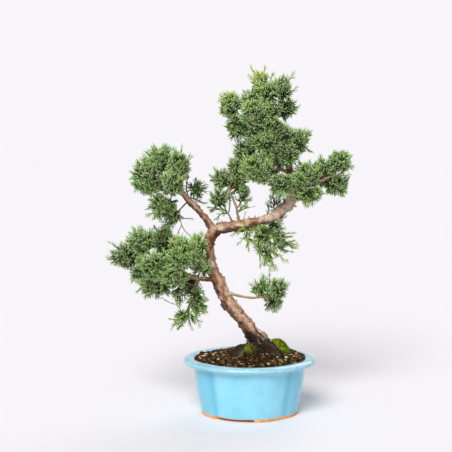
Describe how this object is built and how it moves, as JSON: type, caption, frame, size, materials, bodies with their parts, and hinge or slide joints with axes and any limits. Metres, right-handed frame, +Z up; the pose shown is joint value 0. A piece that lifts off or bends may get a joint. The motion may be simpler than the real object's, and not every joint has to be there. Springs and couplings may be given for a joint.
{
  "type": "kishu juniper bonsai",
  "caption": "Kishu juniper bonsai with a slanting, curving trunk and sprays of scale foliage, planted in an oval glazed pot with moss on the soil.",
  "frame": {"origin": "on the ground under the middle of the box round the whole part; the pot stands to the right of it", "axes": "+Z up along the tree, +X to the right and -Y towards the viewer of the front, along the short side of the pot"},
  "size_m": [0.2462, 0.108, 0.3489],
  "materials": {
    "pot": "glossy light turquoise glaze, unglazed light terracotta foot",
    "drain_mesh": "black moulded plastic mesh",
    "soil": "loose dark granules with pale pumice",
    "moss": "soft bright yellow-green moss",
    "bark": "flaky reddish brown bark",
    "foliage": "matt green scale foliage"
  },
  "bodies": {
    "root": {"pot": "pot", "drain_mesh_left": "drain_mesh", "drain_mesh_right": "drain_mesh", "soil": "soil", "moss_left": "moss", "moss_right": "moss", "trunk": "bark", "spray_high_left_1": "foliage", "spray_high_left_2": "foliage", "spray_high_left_3": "foliage", "spray_high_left_4": "foliage", "spray_high_left_5": "foliage", "spray_high_left_6": "foliage", "spray_high_left_7": "foliage", "spray_high_left_8": "foliage", "spray_low_left_1": "foliage", "spray_low_left_2": "foliage", "spray_low_left_3": "foliage", "spray_low_left_4": "foliage", "spray_low_left_5": "foliage", "spray_low_left_6": "foliage", "spray_low_left_7": "foliage", "spray_low_left_8": "foliage", "spray_low_left_9": "foliage", "spray_low_left_10": "foliage", "spray_low_left_11": "foliage", "spray_low_left_12": "foliage", "spray_low_right_1": "foliage", "spray_low_right_2": "foliage", "spray_low_right_3": "foliage", "spray_hanging_1": "foliage", "spray_hanging_2": "foliage", "spray_hanging_3": "foliage", "spray_hanging_4": "foliage", "spray_arch_1": "foliage", "spray_arch_2": "foliage", "spray_arch_3": "foliage", "spray_arch_4": "foliage", "spray_arch_5": "foliage", "spray_pad_right_1": "foliage", "spray_pad_right_2": "foliage", "spray_pad_right_3": "foliage", "spray_pad_right_4": "foliage", "spray_pad_right_5": "foliage", "spray_crown_1": "foliage", "spray_crown_2": "foliage", "spray_crown_3": "foliage", "spray_crown_4": "foliage", "spray_crown_5": "foliage", "spray_crown_6": "foliage", "spray_crown_7": "foliage", "spray_crown_8": "foliage", "spray_top_1": "foliage", "spray_top_2": "foliage", "spray_top_3": "foliage", "spray_top_4": "foliage", "spray_top_5": "foliage", "spray_top_6": "foliage", "spray_top_7": "foliage", "spray_top_8": "foliage"}
  },
  "joints": []
}
